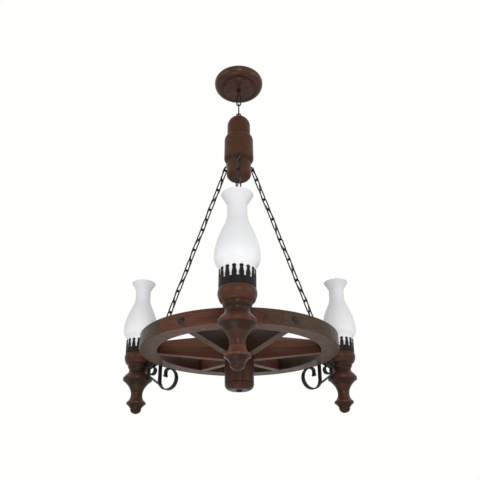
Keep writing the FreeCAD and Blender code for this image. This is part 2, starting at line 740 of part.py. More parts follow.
def make_brace(bracket):
    """Arm, lamp bar, brace and small S scroll, forged as one, with the eye that takes the chain."""
    arm = straight_bar((strap_r(), ARM_START_HEIGHT), (LAMP_BAR_R, ARM_END_HEIGHT))
    end_turn = math.radians(LOWER_CURL_END)
    end_r = LOWER_CURL_CENTRE[0] + LOWER_CURL_RADIUS * math.cos(end_turn)
    end_height = LOWER_CURL_CENTRE[1] + LOWER_CURL_RADIUS * math.sin(end_turn)
    pieces = [
        cross_roll(LAMP_BAR_R, LAMP_BAR_TOP, BAR_THICKNESS / 2),
        straight_bar((LAMP_BAR_R, LAMP_BAR_TOP), (LAMP_BAR_R, LAMP_BAR_BOTTOM)),
        cross_roll(LAMP_BAR_R, LAMP_BAR_BOTTOM, BAR_THICKNESS / 2),
        straight_bar((LAMP_BAR_R, BRACE_TOP), BRACE_END),
        bent_bar(UPPER_CURL_CENTRE, UPPER_CURL_RADIUS, -90, 225),
        bent_bar(LOWER_CURL_CENTRE, LOWER_CURL_RADIUS, 90, LOWER_CURL_END),
        cross_roll(end_r, end_height, SMALL_END_RADIUS),
        ring(at(LOWER_EYE_R, LOWER_EYE_HEIGHT), Vector(0, 1, 0), EYE_RING_RADIUS, WIRE_RADIUS),
    ]
    brace = joined(arm, *pieces).cut(bracket)
    return largest_solid(brace.cut(lamp_screw_shank()))


def largest_solid(shape):
    """The main solid, without any offcut left where one bar runs past another."""
    return max(shape.Solids, key=lambda solid: solid.Volume)


def bracket_screw_shanks():
    """Two wood screws through the strap into the rim."""
    start = RIM_RADIUS + BAR_THICKNESS
    end = RIM_RADIUS - BRACKET_SCREW_DEPTH
    return [rod(at(end, height), at(start, height), BRACKET_SCREW_RADIUS) for height in BRACKET_SCREW_HEIGHTS]


def make_bracket_screws():
    face_r = RIM_RADIUS + BAR_THICKNESS
    screws = []
    for height, shank in zip(BRACKET_SCREW_HEIGHTS, bracket_screw_shanks()):
        head = dome(at(face_r, height), Vector(1, 0, 0), BRACKET_SCREW_HEAD_RADIUS, SCREW_HEAD_HEIGHT)
        screws.append(joined(head, shank))
    return screws


def lamp_screw_shank():
    start = LAMP_BAR_R - BAR_THICKNESS / 2
    return rod(at(start, LAMP_SCREW_HEIGHT), at(start + LAMP_SCREW_DEPTH, LAMP_SCREW_HEIGHT), LAMP_SCREW_RADIUS)


def make_lamp_screw():
    face = at(LAMP_BAR_R - BAR_THICKNESS / 2, LAMP_SCREW_HEIGHT)
    head = dome(face, Vector(-1, 0, 0), LAMP_SCREW_HEAD_RADIUS, SCREW_HEAD_HEIGHT)
    return joined(head, lamp_screw_shank())


# ---- lamp, on +X -------------------------------------------------------------------------------------------------
def lamp_turned(start, steps):
    """Turned piece on the lamp's own axis, with the lamp's own heights."""
    lifted = []
    for step in steps:
        lifted.append(tuple(lamp_z(value) if place % 2 else value for place, value in enumerate(step)))
    return turned((start[0], lamp_z(start[1])), lifted, LAMP_R)


def make_lamp_body(brace):
    """Turned lamp: a deep cup, a waist, a wide disc, a slim neck, a small disc and a tapered foot."""
    body = lamp_turned((NIPPLE_RADIUS, LAMP_TOP), [
        (38.8, LAMP_TOP),
        (41.8, 34, 39.4, 22.5),
        (37.4, 17.3, 33.2, 13.4),
        (31, 12.6),
        (30.3, 6.3, 26.8, -0.5),
        (27.6, -9.5, 34.2, -17),
        (41.6, -26.5),
        (41.6, -34),
        (25.4, -49.5, 16.9, -68),
        (16.5, -76),
        (19.2, -87, 27.4, -96.5),
        (27.4, -101.5),
        (20.6, -107, 15.6, -114),
        (14.4, -121, BUTTON_RADIUS, LAMP_BOTTOM),
        (LAMP_BORE_RADIUS, LAMP_BOTTOM),
        (LAMP_BORE_RADIUS, LAMP_BORE_TOP),
        (NIPPLE_RADIUS, LAMP_BORE_TOP),
    ])
    mouth, turn = lamp_cable_hole()
    run = turn.sub(mouth).normalize()
    body = body.cut(rod(mouth.sub(Vector(run).multiply(6)), turn, LAMP_CABLE_HOLE_RADIUS))
    for cutter in (brace, lamp_screw_shank()):
        body = body.cut(cutter)
    return body


def make_lamp_button():
    """Black cap that plugs the bore under the lamp."""
    stem_bottom = Vector(LAMP_R, 0, lamp_z(LAMP_BOTTOM))
    stem = Part.makeCylinder(LAMP_BORE_RADIUS, BUTTON_STEM, stem_bottom)
    head = dome(stem_bottom, Vector(0, 0, -1), BUTTON_RADIUS, BUTTON_HEIGHT)
    return joined(stem, head)


def make_nipple():
    """Threaded tube that clamps gallery and lampholder to the lamp."""
    return tube(NIPPLE_RADIUS, NIPPLE_BORE_RADIUS, lamp_z(NIPPLE_BOTTOM), lamp_z(CABLE_END_HEIGHT), LAMP_R)


def prong_outline():
    """Half widths and heights of one prong: foot, swell, neck and knob."""
    return [(4.6, 59.5), (4.9, 62.5), (5.7, 67.0), (3.1, 78.5), (4.3, 81.5), (3.9, 84.5), (1.6, PRONG_TOP)]


def make_prong():
    """One prong cut from the gallery's wall, facing away from the wheel."""
    right = [Vector(0, half, lamp_z(height)) for half, height in prong_outline()]
    left = [Vector(0, -half, lamp_z(height)) for half, height in reversed(prong_outline())]
    outline = Part.makePolygon(right + left + [right[0]])
    blade = Part.Face(outline).extrude(Vector(GALLERY_RADIUS + 5, 0, 0))
    blade.translate(Vector(LAMP_R, 0, 0))
    wall = tube(GALLERY_RADIUS, GALLERY_RADIUS - GALLERY_WALL, lamp_z(LAMP_TOP), lamp_z(PRONG_TOP + 1), LAMP_R)
    return blade.common(wall)


def make_gallery():
    """Pressed cup with a crown of prongs that steadies the chimney."""
    inner = GALLERY_RADIUS - GALLERY_WALL
    cup = lamp_turned((NIPPLE_RADIUS, LAMP_TOP), [
        (GALLERY_RADIUS, LAMP_TOP),
        (GALLERY_RADIUS, GALLERY_BAND_TOP),
        (inner, GALLERY_BAND_TOP),
        (inner, LAMP_TOP + GALLERY_FLOOR),
        (NIPPLE_RADIUS, LAMP_TOP + GALLERY_FLOOR),
    ])
    prong = make_prong()
    axis_point = Vector(LAMP_R, 0, 0)
    prongs = []
    for number in range(PRONG_COUNT):
        copy = prong.copy()
        copy.rotate(axis_point, UP, PRONG_PHASE + number * 360.0 / PRONG_COUNT)
        prongs.append(copy)
    return joined(cup, *prongs)


def make_lampholder():
    """Small screw lampholder on the gallery's floor."""
    base = LAMP_TOP + GALLERY_FLOOR
    bore = BULB_BASE_RADIUS + BULB_CLEARANCE
    holder = lamp_turned((0, CABLE_END_HEIGHT), [
        (NIPPLE_RADIUS, CABLE_END_HEIGHT),
        (NIPPLE_RADIUS, base),
        (HOLDER_BASE_RADIUS, base),
        (HOLDER_BASE_RADIUS, base + HOLDER_BASE_HEIGHT - 1.5),
        (HOLDER_RADIUS, base + HOLDER_BASE_HEIGHT),
        (HOLDER_RADIUS, HOLDER_TOP - 1),
        (HOLDER_RADIUS - 1, HOLDER_TOP),
        (bore, HOLDER_TOP),
        (bore, HOLDER_BORE_BOTTOM),
        (0, HOLDER_BORE_BOTTOM),
    ])
    return holder


def make_bulb():
    """Candle bulb with a plain round base where the thread would be."""
    tip_middle = BULB_TIP_RADIUS * math.sqrt(0.5)
    return lamp_turned((0, BULB_BOTTOM), [
        (3.5, BULB_BOTTOM),
        (BULB_BASE_RADIUS, BULB_BOTTOM + 3),
        (BULB_BASE_RADIUS, HOLDER_TOP + 2),
        (8.2, HOLDER_TOP + 4),
        (16.6, 108, 17.5, 124),
        (13.6, 146, BULB_TIP_RADIUS, BULB_TOP - BULB_TIP_RADIUS),
        (tip_middle, BULB_TOP - BULB_TIP_RADIUS + tip_middle, 0, BULB_TOP),
    ])


def glass_outline():
    """Outer line of the chimney from the top of its seat to its flared lip."""
    return [(GLASS_SEAT_RADIUS, 86), (45.2, 99.6), (49.9, 125), (44.3, 153.6), (33.9, 182.8),
            (22.6, 216), (22.4, 238), (36.2, 270.4)]


def make_chimney():
    """Blown chimney: a straight seat, a round belly, a slim neck and a flared lip."""
    outer_points = [Vector(LAMP_R + r, 0, lamp_z(z)) for r, z in glass_outline()]
    outer = Part.BSplineCurve()
    outer.interpolate(Points=outer_points, InitialTangent=UP, FinalTangent=Vector(1, 0, 1.6))
    inner_points = []
    for point in outer_points:
        place = outer.parameter(point)
        along = outer.tangent(place)[0]
        inward = Vector(-along.z, 0, along.x)
        inner_points.append(point.add(inward.multiply(GLASS_WALL)))
    inner_seat = GLASS_SEAT_RADIUS - GLASS_WALL
    inner = Part.BSplineCurve()
    inner.interpolate(Points=inner_points, InitialTangent=UP, FinalTangent=Vector(1, 0, 1.6))
    bottom = lamp_z(LAMP_TOP + GALLERY_FLOOR)
    low_inner = Vector(LAMP_R + inner_seat, 0, bottom)
    low_outer = Vector(LAMP_R + GLASS_SEAT_RADIUS, 0, bottom)
    wire = Part.Wire([
        Part.LineSegment(low_inner, low_outer).toShape(),
        Part.LineSegment(low_outer, outer_points[0]).toShape(),
        outer.toShape(),
        Part.LineSegment(outer_points[-1], inner_points[-1]).toShape(),
        inner.toShape(),
        Part.LineSegment(inner_points[0], low_inner).toShape(),
    ])
    return Part.Face(wire).revolve(Vector(LAMP_R, 0, 0), UP, 360)


# ---- write every node ----------------------------------------------------------------------------------------------
def save_ceiling_fitting():
    save("ceiling_bracket", make_ceiling_bracket())
    save("canopy", make_canopy())
    save("canopy_hook", make_canopy_hook())
    save("hook_nuts", *make_hook_nuts())
    save("terminal_block", make_terminal_block())


def save_spindle():
    first_link, second_link = make_top_links()
    save("top_link_1", first_link)
    save("top_link_2", second_link)
    save("spindle_eye", make_spindle_eye())
    save("eye_nut", make_eye_nut())
    save("spindle", make_spindle())
    save("spindle_plug", make_spindle_plug())
    save("spindle_connector", make_spindle_connector())
    save_group_at_lamps("chain_eyes", [make_chain_eye()])


def save_chains_and_cables():
    links = make_side_chain()
    cable = make_lamp_cable()
    for number, angle in enumerate(LAMP_ANGLES, start=1):
        save("side_chain_" + str(number), *[turn_about_axis(link, angle) for link in links])
        save("lamp_cable_" + str(number), turn_about_axis(cable, angle))
    print("side chain pitch", round(side_link_pitch(), 2))


def save_irons_and_lamps():
    bracket = make_bracket()
    brace = make_brace(bracket)
    save_at_lamps("bracket", bracket)
    save_at_lamps("brace", brace)
    save_group_at_lamps("bracket_screws", make_bracket_screws())
    save_group_at_lamps("lamp_screws", [make_lamp_screw()])
    save_at_lamps("lamp_body", make_lamp_body(brace))
    save_group_at_lamps("lamp_buttons", [make_lamp_button()])
    save_group_at_lamps("lamp_nipples", [make_nipple()])
    save_at_lamps("gallery", make_gallery())
    save_at_lamps("lampholder", make_lampholder())
    save_at_lamps("bulb", make_bulb())
    save_at_lamps("chimney", make_chimney())


def main():
    os.makedirs("parts", exist_ok=True)
    save_ceiling_fitting()
    save_spindle()
    save_chains_and_cables()
    save_wheel()
    save_irons_and_lamps()


main()
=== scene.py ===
import bpy
import math
from mathutils import Matrix, Vector

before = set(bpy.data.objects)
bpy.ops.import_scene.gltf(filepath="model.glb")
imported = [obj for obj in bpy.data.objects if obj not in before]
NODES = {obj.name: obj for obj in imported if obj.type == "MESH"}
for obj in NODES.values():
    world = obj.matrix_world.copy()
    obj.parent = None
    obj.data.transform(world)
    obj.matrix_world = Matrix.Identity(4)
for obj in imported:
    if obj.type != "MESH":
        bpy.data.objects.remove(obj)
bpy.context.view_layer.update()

# Metres. The ceiling is at height 0 and the front lamp, number 1, stands towards -Y.
RIM_UNDERSIDE = -0.907
RIM_INNER_RADIUS = 0.214
LAMP_LIFT = 0.0015


def wheel_z(height):
    """Height in the frame of a height above the rim's underside."""
    return RIM_UNDERSIDE + height


def lamp_z(height):
    """Height in the frame of a height in a lamp's own profile."""
    return wheel_z(height + LAMP_LIFT)


# ---- node helpers -----------------------------------------------------------------------
MIX_FACTOR, MIX_FIRST, MIX_SECOND, MIX_RESULT = 0, 6, 7, 2
SAMPLES = 6
# Most of a noise's values lie between these two.
NOISE_LOW, NOISE_HIGH = 0.3, 0.7
EDGE_WIDTH = 0.0015
EDGE_BEND = (0.02, 0.25)
RECESS_DEPTH = 0.014
RECESS_OPENNESS = (0.92, 0.45)
FACING_DOWN = (-0.8, -0.95)
RIM_FACE_TOLERANCE = (0.0012, 0.0006)
BAND_EDGE = 0.0015


class Nodes:
    """A new material, and short ways to write its nodes."""

    def __init__(self, name):
        self.material = bpy.data.materials.new(name)
        self.material.use_nodes = True
        self.tree = self.material.node_tree
        self.tree.nodes.clear()
        self.output = self.tree.nodes.new("ShaderNodeOutputMaterial")
        self.coords = self.add("ShaderNodeTexCoord").outputs["Object"]

    def add(self, kind, **settings):
        node = self.tree.nodes.new(kind)
        for key, value in settings.items():
            setattr(node, key, value)
        return node

    def link(self, source, target):
        self.tree.links.new(source, target)

    def feed(self, socket, value):
        """Gives a socket a number, a colour or another node's output."""
        if isinstance(value, (int, float)):
            socket.default_value = value
        elif isinstance(value, tuple):
            socket.default_value = (*value, 1)
        else:
            self.link(value, socket)

    def mapped(self, scale, rotation=(0, 0, 0)):
        """Object coordinates turned about the origin, then scaled."""
        turn = self.add("ShaderNodeMapping", vector_type="POINT")
        turn.inputs["Rotation"].default_value = rotation
        stretch = self.add("ShaderNodeMapping", vector_type="POINT")
        stretch.inputs["Scale"].default_value = scale
        self.link(self.coords, turn.inputs["Vector"])
        self.link(turn.outputs["Vector"], stretch.inputs["Vector"])
        return stretch.outputs["Vector"]

    def noise(self, cells, detail, roughness=0.55, distortion=0.0, rotation=(0, 0, 0)):
        """Noise with its own number of cells per metre along each turned axis."""
        node = self.add("ShaderNodeTexNoise")
        node.inputs["Scale"].default_value = 1.0
        node.inputs["Detail"].default_value = detail
        node.inputs["Roughness"].default_value = roughness
        node.inputs["Distortion"].default_value = distortion
        self.link(self.mapped(cells, rotation), node.inputs["Vector"])
        return node.outputs["Fac"]

    def even_noise(self, cells, detail):
        return self.noise((cells, cells, cells), detail)

    def ramp(self, factor, stops):
        """stops is a list of (place, colour or grey)."""
        node = self.add("ShaderNodeValToRGB")
        elements = node.color_ramp.elements
        while len(elements) < len(stops):
            elements.new(0.5)
        for element, (place, colour) in zip(elements, stops):
            element.position = place
            if isinstance(colour, (int, float)):
                colour = (colour, colour, colour)
            element.color = (*colour, 1)
        self.link(factor, node.inputs["Fac"])
        return node.outputs["Color"]

    def span(self, value, low, high, to_low=0.0, to_high=1.0):
        """The range from low to high, laid over the range from to_low to to_high."""
        node = self.add("ShaderNodeMapRange")
        for key, number in (("From Min", low), ("From Max", high),
                            ("To Min", to_low), ("To Max", to_high)):
            node.inputs[key].default_value = number
        self.link(value, node.inputs["Value"])
        return node.outputs["Result"]

    def tones(self, noise, low_colour, high_colour):
        return self.ramp(noise, [(NOISE_LOW, low_colour), (NOISE_HIGH, high_colour)])

    def between(self, noise, low, high):
        return self.span(noise, NOISE_LOW, NOISE_HIGH, low, high)

    def math(self, operation, first, second):
        node = self.add("ShaderNodeMath", operation=operation)
        self.feed(node.inputs[0], first)
        self.feed(node.inputs[1], second)
        return node.outputs["Value"]

    def mix(self, factor, first, second, blend_type="MIX"):
        node = self.add("ShaderNodeMix", data_type="RGBA", blend_type=blend_type)
        self.feed(node.inputs[MIX_FACTOR], factor)
        self.feed(node.inputs[MIX_FIRST], first)
        self.feed(node.inputs[MIX_SECOND], second)
        return node.outputs[MIX_RESULT]

    def tint(self, colour, mask, strength, stain):
        """The colour, with a second colour laid over it where the mask is bright; stains, wear,
        painted shade and painted highlight all use it.
        """
        return self.mix(self.math("MULTIPLY", mask, strength), colour, stain)

    def height(self):
        split = self.add("ShaderNodeSeparateXYZ")
        self.link(self.coords, split.inputs["Vector"])
        return split.outputs["Z"]

    def bump(self, height, strength, distance, normal=None):
        node = self.add("ShaderNodeBump")
        node.inputs["Strength"].default_value = strength
        node.inputs["Distance"].default_value = distance
        self.link(height, node.inputs["Height"])
        if normal is not None:
            self.link(normal, node.inputs["Normal"])
        return node.outputs["Normal"]

    def edges(self, width=EDGE_WIDTH):
        """Bright along edges, for wear and painted highlight, from the angle between true and
        rounded normals.
        """
        rounded = self.add("ShaderNodeBevel", samples=SAMPLES)
        rounded.inputs["Radius"].default_value = width
        geometry = self.add("ShaderNodeNewGeometry")
        dot = self.add("ShaderNodeVectorMath", operation="DOT_PRODUCT")
        self.link(rounded.outputs["Normal"], dot.inputs[0])
        self.link(geometry.outputs["Normal"], dot.inputs[1])
        return self.span(self.math("SUBTRACT", 1.0, dot.outputs["Value"]), *EDGE_BEND)

    def painted_shade_in_recesses(self):
        """Bright in grooves and corners, where painted shade goes."""
        occlusion = self.add("ShaderNodeAmbientOcclusion", samples=SAMPLES)
        occlusion.inputs["Distance"].default_value = RECESS_DEPTH
        return self.span(occlusion.outputs["AO"], *RECESS_OPENNESS)

    def underside(self):
        """1 on faces that look down."""
        geometry = self.add("ShaderNodeNewGeometry")
        split = self.add("ShaderNodeSeparateXYZ")
        self.link(geometry.outputs["Normal"], split.inputs["Vector"])
        return self.span(split.outputs["Z"], *FACING_DOWN)

    def inside_rim(self):
        """1 on the rim's inner face."""
        length = self.add("ShaderNodeVectorMath", operation="LENGTH")
        self.link(self.mapped((1, 1, 0)), length.inputs[0])
        radius = length.outputs["Value"]
        far, near = RIM_FACE_TOLERANCE
        not_beyond = self.span(radius, RIM_INNER_RADIUS + far, RIM_INNER_RADIUS + near)
        not_within = self.span(radius, RIM_INNER_RADIUS - far, RIM_INNER_RADIUS - near)
        return self.math("MULTIPLY", not_beyond, not_within)

    def lamp_band(self, low, high):
        """1 between two heights of a lamp's own profile."""
        above = self.span(self.height(), lamp_z(low), lamp_z(low) + BAND_EDGE)
        below = self.span(self.height(), lamp_z(high), lamp_z(high) - BAND_EDGE)
        return self.math("MULTIPLY", above, below)

    def principled(self, colour, rough, normal, metallic=0.0, **uniform):
        shader = self.add("ShaderNodeBsdfPrincipled")
        self.feed(shader.inputs["Base Color"], colour)
        self.feed(shader.inputs["Roughness"], rough)
        self.feed(shader.inputs["Metallic"], metallic)
        self.link(normal, shader.inputs["Normal"])
        for name, value in uniform.items():
            shader.inputs[name.replace("_", " ")].default_value = value
        self.link(shader.outputs["BSDF"], self.output.inputs["Surface"])


# ---- wood -------------------------------------------------------------------------------
# Noise cells per metre, along the grain and across it.
GRAIN_CELLS = (9, 260, 260)
PORE_CELLS = (45, 1500, 1500)
CLOUD_CELLS = (7, 16, 16)
# The same on a turned piece, across its axis and along it.
TURNED_MARK_CELLS = (18, 18, 130)
LATHE_RING_CELLS = (2, 2, 620)
SCUFF_CELLS = 60
GRAIN_SHARE, CLOUD_SHARE = 0.62, 0.38
PALETTE_PLACES = (0.33, 0.5, 0.66)
TURNED_MARK_RANGE = (0.47, 0.57)
PORE_TONES = [(0.34, 0.62), (0.46, 1.0)]
PORE_STRENGTH = 0.7
SCUFF_RANGE = (0.3, 0.75)
SMOOTHER, ROUGHER = 0.07, 0.14
GRAIN_RELIEF = 0.22
RELIEF_DEPTH = 0.0006
VARNISH_IOR = 1.5
# Strength and colour of each tint: darker on the rim's inner face, a painted sheen on faces that
# look down, and painted shade in recesses.
INSIDE_RIM_DARKENING = (0.62, (0.020, 0.0135, 0.0095))
UNDERSIDE_PAINTED_SHEEN = (0.5, (0.112, 0.066, 0.042))
RECESS_PAINTED_SHADE = (0.65, (0.010, 0.0055, 0.0035))
RINGS_COLOUR = (0.046, 0.032, 0.0145)
WORN_AND_HIGHLIT_COLOUR = (0.24, 0.15, 0.105)


def wood(name, grain_rotation, palette, gloss, shine=0.09, wear_and_highlight=0.08, lathe=0.0,
         rings_tint=0.0, bands=(), board=False):
    """Stained and varnished wood with its grain along local X of grain_rotation.

    palette is dark, middle and light. gloss is the roughness of the varnish and shine
    its strength. lathe is the height of turned rings, rings_tint their colour's
    strength, bands are stretches of a lamp with stain, painted shade and painted
    highlight, and board is for the wheel's parts.
    """
    n = Nodes(name)
    grain = n.noise(GRAIN_CELLS, 6, 0.6, distortion=0.35, rotation=grain_rotation)
    pores = n.noise(PORE_CELLS, 3, 0.6, rotation=grain_rotation)
    cloud = n.noise(CLOUD_CELLS, 3, rotation=grain_rotation)
    blend = n.math("ADD", n.math("MULTIPLY", grain, GRAIN_SHARE),
                   n.math("MULTIPLY", cloud, CLOUD_SHARE))
    colour = n.ramp(blend, list(zip(PALETTE_PLACES, palette)))
    # The bands lay stain, painted shade and painted highlight on the lamp.
    for low, high, strength, stain in bands:
        colour = n.tint(colour, n.lamp_band(low, high), strength, stain)
    if rings_tint:
        turned_marks = n.span(n.noise(TURNED_MARK_CELLS, 4, 0.62), *TURNED_MARK_RANGE)
        colour = n.tint(colour, turned_marks, rings_tint, RINGS_COLOUR)
    pore_mask = n.ramp(pores, PORE_TONES)
    colour = n.mix(PORE_STRENGTH, colour, pore_mask, "MULTIPLY")
    if board:
        # Darker on the rim's inner face.
        colour = n.tint(colour, n.inside_rim(), *INSIDE_RIM_DARKENING)
        # Painted sheen: faces that look down are lighter, as if lit from below.
        colour = n.tint(colour, n.underside(), *UNDERSIDE_PAINTED_SHEEN)
    # Painted shade in grooves and corners, darker where ambient occlusion is strong.
    colour = n.tint(colour, n.painted_shade_in_recesses(), *RECESS_PAINTED_SHADE)
    # Paler edges: wear, with painted highlight along the edges.
    colour = n.tint(colour, n.edges(), wear_and_highlight, WORN_AND_HIGHLIT_COLOUR)
    rough = n.span(n.even_noise(SCUFF_CELLS, 5), *SCUFF_RANGE, gloss - SMOOTHER, gloss + ROUGHER)
    normal = n.bump(n.math("ADD", grain, pore_mask), GRAIN_RELIEF, RELIEF_DEPTH)
    if lathe:
        normal = n.bump(n.noise(LATHE_RING_CELLS, 3, 0.7), lathe, RELIEF_DEPTH, normal)
    n.principled(colour, rough, normal, Specular_IOR_Level=shine, IOR=VARNISH_IOR)
    return n.material


UPRIGHT = (0, math.radians(90), 0)
CANOPY_GRAIN = (0, 0, 0.5)

LAMP_PALETTE = ((0.026, 0.0135, 0.0075), (0.046, 0.0205, 0.011), (0.068, 0.0285, 0.015))
SPINDLE_PALETTE = ((0.052, 0.0182, 0.0100), (0.084, 0.0275, 0.0152), (0.118, 0.0375, 0.0205))
HUB_PALETTE = ((0.032, 0.0155, 0.0085), (0.052, 0.0225, 0.012), (0.072, 0.030, 0.0155))
CANOPY_PALETTE = ((0.032, 0.0125, 0.0075), (0.070, 0.0265, 0.0145), (0.110, 0.040, 0.022))

# Painted shade under the foot bead and under the disc.
UNDER_BEAD_PAINTED_SHADE = (0.024, 0.0115, 0.0065)
FOOT_BEAD_STAIN = (0.165, 0.070, 0.035)
# Neck, disc and cup: reddish stains, lightened as painted highlight where light falls on the
# neck, the disc's top and the cup.
NECK_STAIN_AND_HIGHLIGHT = (0.092, 0.044, 0.026)
DISC_STAIN_AND_LIT_TOP = (0.115, 0.041, 0.026)
CUP_STAIN_AND_HIGHLIGHT = (0.120, 0.046, 0.030)
# Lowest and highest height in the lamp's profile, strength and colour, from the foot up: stains,
# with painted shade under the foot bead and the disc and painted highlight on the neck, disc and
# cup.
LAMP_BANDS = (
    (-0.113, -0.1018, 0.5, UNDER_BEAD_PAINTED_SHADE),
    (-0.1018, -0.078, 0.55, FOOT_BEAD_STAIN),
    (-0.078, -0.049, 0.35, NECK_STAIN_AND_HIGHLIGHT),
    (-0.049, -0.0345, 0.5, UNDER_BEAD_PAINTED_SHADE),
    (-0.0345, -0.013, 0.55, DISC_STAIN_AND_LIT_TOP),
    (0.0125, 0.047, 0.42, CUP_STAIN_AND_HIGHLIGHT),
)


def lamp_wood(name, depth, strength):
    """Turned lamp wood. depth scales its colours and strength its bands of stain, painted shade
    and painted highlight.
    """
    palette = [tuple(depth * part for part in colour) for colour in LAMP_PALETTE]
    bands = [(low, high, strength * amount, stain) for low, high, amount, stain in LAMP_BANDS]
    return wood(name, UPRIGHT, palette, gloss=0.27, lathe=0.12, bands=bands)


# ---- other materials --------------------------------------------------------------------
# Cells per metre, and strength and depth in metres of the relief.
IRON_PATCH_CELLS = 95
HAMMER_CELLS, HAMMER_RELIEF = 240, (0.3, 0.0007)
PAINT_CELLS, PAINT_RELIEF = 1700, (0.12, 0.0002)
DARK_PATCH, PALE_PATCH = 0.65, 1.35
IRON_EDGE_WIDTH = 0.0007
IRON_WEAR = 0.45


def iron(name, base, worn_colour, rough_low=0.32, rough_high=0.52, shine=0.14):
    """Black painted iron, a little uneven, with paler worn edges."""
    n = Nodes(name)
    patches = n.even_noise(IRON_PATCH_CELLS, 5)
    darker, paler = [tuple(tone * part for part in base) for tone in (DARK_PATCH, PALE_PATCH)]
    colour = n.tones(patches, darker, paler)
    colour = n.tint(colour, n.edges(IRON_EDGE_WIDTH), IRON_WEAR, worn_colour)
    hammered = n.bump(n.even_noise(HAMMER_CELLS, 2), *HAMMER_RELIEF)
    normal = n.bump(n.even_noise(PAINT_CELLS, 2), *PAINT_RELIEF, hammered)
    rough = n.between(patches, rough_low, rough_high)
    n.principled(colour, rough, normal, Specular_IOR_Level=shine)
    return n.material


MILK_CELLS = (14, 14, 9)
MILK_COLOURS = ((0.905, 0.907, 0.915), (0.93, 0.932, 0.94))
LIP_COLOUR = (0.80, 0.80, 0.81)
BELLY_HEIGHT, LIP_HEIGHT = 0.10, 0.24
OPAL_ROUGHNESS_CELLS, OPAL_ROUGHNESS = 160, (0.42, 0.52)
RIPPLE_CELLS, RIPPLE_RELIEF = (26, 26, 60), (0.08, 0.002)


def opal_glass():
    """White opal glass, faintly ribbed from blowing and thinner towards the lip."""
    n = Nodes("opal_glass_detail")
    colour = n.tones(n.noise(MILK_CELLS, 3), *MILK_COLOURS)
    thinness = n.span(n.height(), lamp_z(BELLY_HEIGHT), lamp_z(LIP_HEIGHT))
    colour = n.mix(thinness, colour, LIP_COLOUR)
    rough = n.between(n.even_noise(OPAL_ROUGHNESS_CELLS, 3), *OPAL_ROUGHNESS)
    ripples = n.bump(n.noise(RIPPLE_CELLS, 2), *RIPPLE_RELIEF)
    n.principled(colour, rough, ripples, IOR=1.5, Specular_IOR_Level=0.3,
                 Subsurface_Weight=0.15, Subsurface_Scale=0.01, Subsurface_Radius=(1, 1, 1))
    return n.material


BULB_BASE_TOP, BULB_BASE_EDGE = 0.0965, 0.0005
FROST_CELLS, FROST_ROUGHNESS = 300, (0.24, 0.4)
FROST_COLOURS = ((0.84, 0.83, 0.80), (0.90, 0.89, 0.87))
BRASS_COLOUR = (0.62, 0.46, 0.22)
THREAD_SCALE, THREAD_RELIEF = 110, (0.6, 0.0012)


def bulb_glass():
    """Candle bulb: frosted envelope over a brass-coloured base."""
    n = Nodes("bulb_detail")
    base = n.span(n.height(), lamp_z(BULB_BASE_TOP), lamp_z(BULB_BASE_TOP - BULB_BASE_EDGE))
    frost = n.even_noise(FROST_CELLS, 4)
    colour = n.mix(base, n.tones(frost, *FROST_COLOURS), BRASS_COLOUR)
    thread = n.add("ShaderNodeTexWave", wave_type="BANDS", bands_direction="Z")
    thread.inputs["Scale"].default_value = THREAD_SCALE
    n.link(n.coords, thread.inputs["Vector"])
    normal = n.bump(n.math("MULTIPLY", thread.outputs["Fac"], base), *THREAD_RELIEF)
    rough = n.between(frost, *FROST_ROUGHNESS)
    n.principled(colour, rough, normal, metallic=base, IOR=1.5)
    return n.material


PLASTIC_CLOUD_CELLS = 50
PLASTIC_RELIEF = (0.15, 0.0002)


def plastic(name, low_colour, high_colour, rough_low=0.38, rough_high=0.55, grit_cells=900):
    """Moulded plastic with a fine texture."""
    n = Nodes(name)
    colour = n.tones(n.even_noise(PLASTIC_CLOUD_CELLS, 3), low_colour, high_colour)
    grit = n.even_noise(grit_cells, 2)
    rough = n.between(grit, rough_low, rough_high)
    n.principled(colour, rough, n.bump(grit, *PLASTIC_RELIEF), IOR=1.46)
    return n.material


ZINC_CRYSTAL_SCALE = 260
ZINC_COLOURS = [(0.0, (0.46, 0.47, 0.48)), (1.0, (0.64, 0.65, 0.66))]
ZINC_ROUGHNESS = (0.28, 0.45)
BRUSH_CELLS, BRUSH_RELIEF = (80, 1500, 1500), (0.1, 0.0002)


def zinc():
    """Bright zinc plating with its mottled crystals."""
    n = Nodes("zinc_detail")
    cells = n.add("ShaderNodeTexVoronoi")
    cells.inputs["Scale"].default_value = ZINC_CRYSTAL_SCALE
    n.link(n.coords, cells.inputs["Vector"])
    mottle = n.add("ShaderNodeSeparateColor")
    n.link(cells.outputs["Color"], mottle.inputs["Color"])
    red, green, _ = mottle.outputs
    colour = n.ramp(red, ZINC_COLOURS)
    rough = n.span(green, 0.0, 1.0, *ZINC_ROUGHNESS)
    brushed = n.bump(n.noise(BRUSH_CELLS, 2), *BRUSH_RELIEF)
    n.principled(colour, rough, brushed, metallic=1.0)
    return n.material


# ---- materials on the pieces ------------------------------------------------------------
SHARP_ANGLE = math.radians(38)


def dress(material, *names):
    """Puts the material on each piece, and shades it smooth up to its sharp edges."""
    for name in names:
        mesh = NODES[name].data
        mesh.materials.clear()
        mesh.materials.append(material)
        for polygon in mesh.polygons:
            polygon.use_smooth = True
        mesh.set_sharp_from_angle(angle=SHARP_ANGLE)


def numbered(stem, count=3):
    return [stem + "_" + str(number) for number in range(1, count + 1)]


dress(lamp_wood("lamp_wood", 1.0, 1.0), "lamp_body_1")
